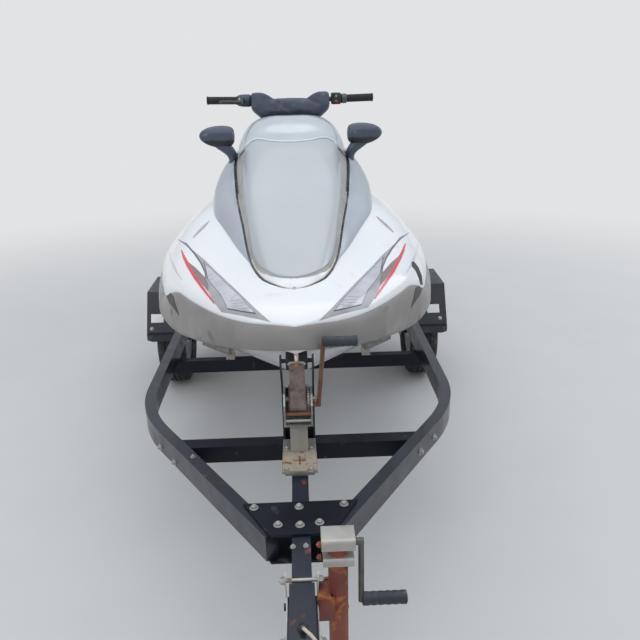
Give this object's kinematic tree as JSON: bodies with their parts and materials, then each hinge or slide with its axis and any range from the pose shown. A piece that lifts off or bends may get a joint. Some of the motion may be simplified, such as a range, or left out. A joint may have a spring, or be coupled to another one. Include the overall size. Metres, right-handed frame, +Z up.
{
  "type": "personal watercraft on a single-axle trailer",
  "caption": "Sit-on personal watercraft strapped on its single-axle road trailer, with steering, jet drive, opening hood, road wheels and a jockey-wheel jack.",
  "frame": {"origin": "on the ground, below the middle of the bounding box of the craft and its trailer", "axes": "+Z up, the bow and the coupling point to -Y, +X is the port side"},
  "size_m": [1.63, 4.3, 1.6033],
  "materials": {
    "gelcoat_white": "glossy white gelcoat",
    "hood_silver": "silver-grey painted moulding",
    "cover_grey": "light grey painted moulding",
    "visor_silver": "pale silver painted moulding",
    "bumper_grey": "scuffed grey bumper",
    "trim_black": "textured black moulding",
    "mirror_shell": "dark blue-grey moulding",
    "pad_blue_grey": "stitched dark blue-grey pad",
    "grip_rubber": "ribbed black grip",
    "bar_black": "black powder coat",
    "seat_vinyl": "two-tone marine vinyl",
    "mat_foam": "grooved foam traction mat",
    "stainless": "stainless steel",
    "cast_alloy": "cast aluminium",
    "engine_iron": "engine block",
    "frame_black": "black trailer paint",
    "zinc": "zinc-plated steel",
    "rust_red": "red-brown painted and rusted steel",
    "tyre_black": "road tyre",
    "rim_silver": "silver steel rim",
    "fender_black": "slate-black fender",
    "bunk_carpet": "grey-brown bunk carpet",
    "strap_web": "woven winch strap",
    "stop_rubber": "black rubber bow stop",
    "lamp_red": "red lamp lens",
    "cable_beige": "beige cable sheath"
  },
  "bodies": {
    "craft_on_trailer": {"axle_beam": "frame_black", "bow_bumper": "bumper_grey", "bow_post": "frame_black", "bow_stop": "stop_rubber", "bunk_posts": "zinc", "bunks": "bunk_carpet", "cable": "cable_beige", "console": "trim_black", "coupler": "zinc", "crossmembers": "frame_black", "deck": "gelcoat_white", "deck_mats": "mat_foam", "drawbar": "frame_black", "engine_block": "engine_iron", "fenders": "fender_black", "frame_rails": "frame_black", "front_seat": "seat_vinyl", "grab_handle": "trim_black", "gusset_plates": "frame_black", "hull": "gelcoat_white", "instrument_cluster": "trim_black", "intake_grate": "cast_alloy", "jack_crank": "zinc", "jack_tube": "rust_red", "jet_pump": "cast_alloy", "light_bar": "frame_black", "mirrors": "mirror_shell", "plug": "trim_black", "plug_holder": "trim_black", "rear_seat": "seat_vinyl", "ride_plate": "cast_alloy", "shift_lever": "trim_black", "side_covers": "cover_grey", "side_rub_rails": "bumper_grey", "sponsons": "trim_black", "tail_lamps": "lamp_red", "tow_eyes": "stainless", "winch_crank": "zinc", "winch_frame": "zinc", "winch_post": "zinc", "winch_strap": "strap_web"},
    "steering": {"handlebar": "bar_black", "grips": "grip_rubber", "throttle": "trim_black", "switch_box": "trim_black", "steering_pad": "pad_blue_grey"},
    "nozzle": {"steering_nozzle": "cast_alloy"},
    "reverse": {"reverse_bucket": "cast_alloy"},
    "rotor": {"impeller": "stainless"},
    "hood": {"hood_lid": "hood_silver", "windscreen": "visor_silver"},
    "glovebox": {"glovebox_lid": "trim_black"},
    "step": {"boarding_step": "stainless"},
    "wheel_left": {"tyre_left": "tyre_black", "rim_left": "rim_silver"},
    "wheel_right": {"tyre_right": "tyre_black", "rim_right": "rim_silver"},
    "jack_leg": {"jack_leg": "zinc"},
    "jack_caster": {"jack_fork": "zinc"},
    "jack_roller": {"jack_wheel": "tyre_black"}
  },
  "joints": [
    {"name": "steering_turn", "type": "hinge", "parent": "craft_on_trailer", "child": "steering", "pos_m": [0, 0.26, 1.538], "axis": [0, 0.2588, 0.9659], "range_deg": [-20, 20]},
    {"name": "nozzle_turn", "type": "hinge", "parent": "craft_on_trailer", "child": "nozzle", "pos_m": [0, 1.96, 0.597], "axis": [0, 0, 1], "range_deg": [-20, 20]},
    {"name": "reverse_drop", "type": "hinge", "parent": "craft_on_trailer", "child": "reverse", "pos_m": [0, 1.915, 0.58], "axis": [-1, 0, 0], "range_deg": [0, 50]},
    {"name": "impeller_spin", "type": "hinge", "parent": "craft_on_trailer", "child": "rotor", "pos_m": [0, 1.68, 0.597], "axis": [0, 1, 0], "continuous": true},
    {"name": "hood_open", "type": "hinge", "parent": "craft_on_trailer", "child": "hood", "pos_m": [0, -0.944, 1.028], "axis": [1, 0, 0], "range_deg": [0, 45]},
    {"name": "glovebox_open", "type": "hinge", "parent": "craft_on_trailer", "child": "glovebox", "pos_m": [0, 0.358, 1.305], "axis": [1, 0, 0], "range_deg": [0, 80]},
    {"name": "boarding_step_fold", "type": "hinge", "parent": "craft_on_trailer", "child": "step", "pos_m": [0.29, 2.006, 0.61], "axis": [-1, 0, 0], "range_deg": [0, 170]},
    {"name": "wheel_left_spin", "type": "hinge", "parent": "craft_on_trailer", "child": "wheel_left", "pos_m": [0.704, 0.64, 0.254], "axis": [1, 0, 0], "continuous": true},
    {"name": "wheel_right_spin", "type": "hinge", "parent": "craft_on_trailer", "child": "wheel_right", "pos_m": [-0.704, 0.64, 0.254], "axis": [1, 0, 0], "continuous": true},
    {"name": "jack_lift", "type": "slide", "parent": "craft_on_trailer", "child": "jack_leg", "axis": [0, 0, 1], "range_m": [-0.1, 0.065]},
    {"name": "jack_swivel", "type": "hinge", "parent": "jack_leg", "child": "jack_caster", "pos_m": [0.088, -1.67, 0.216], "axis": [0, 0, 1], "continuous": true},
    {"name": "jack_wheel_spin", "type": "hinge", "parent": "jack_caster", "child": "jack_roller", "pos_m": [0.088, -1.632, 0.1], "axis": [1, 0, 0], "continuous": true}
  ],
  "couplings": [
    {"joint": "nozzle_turn", "follows": "steering_turn", "ratio": -1}
  ]
}
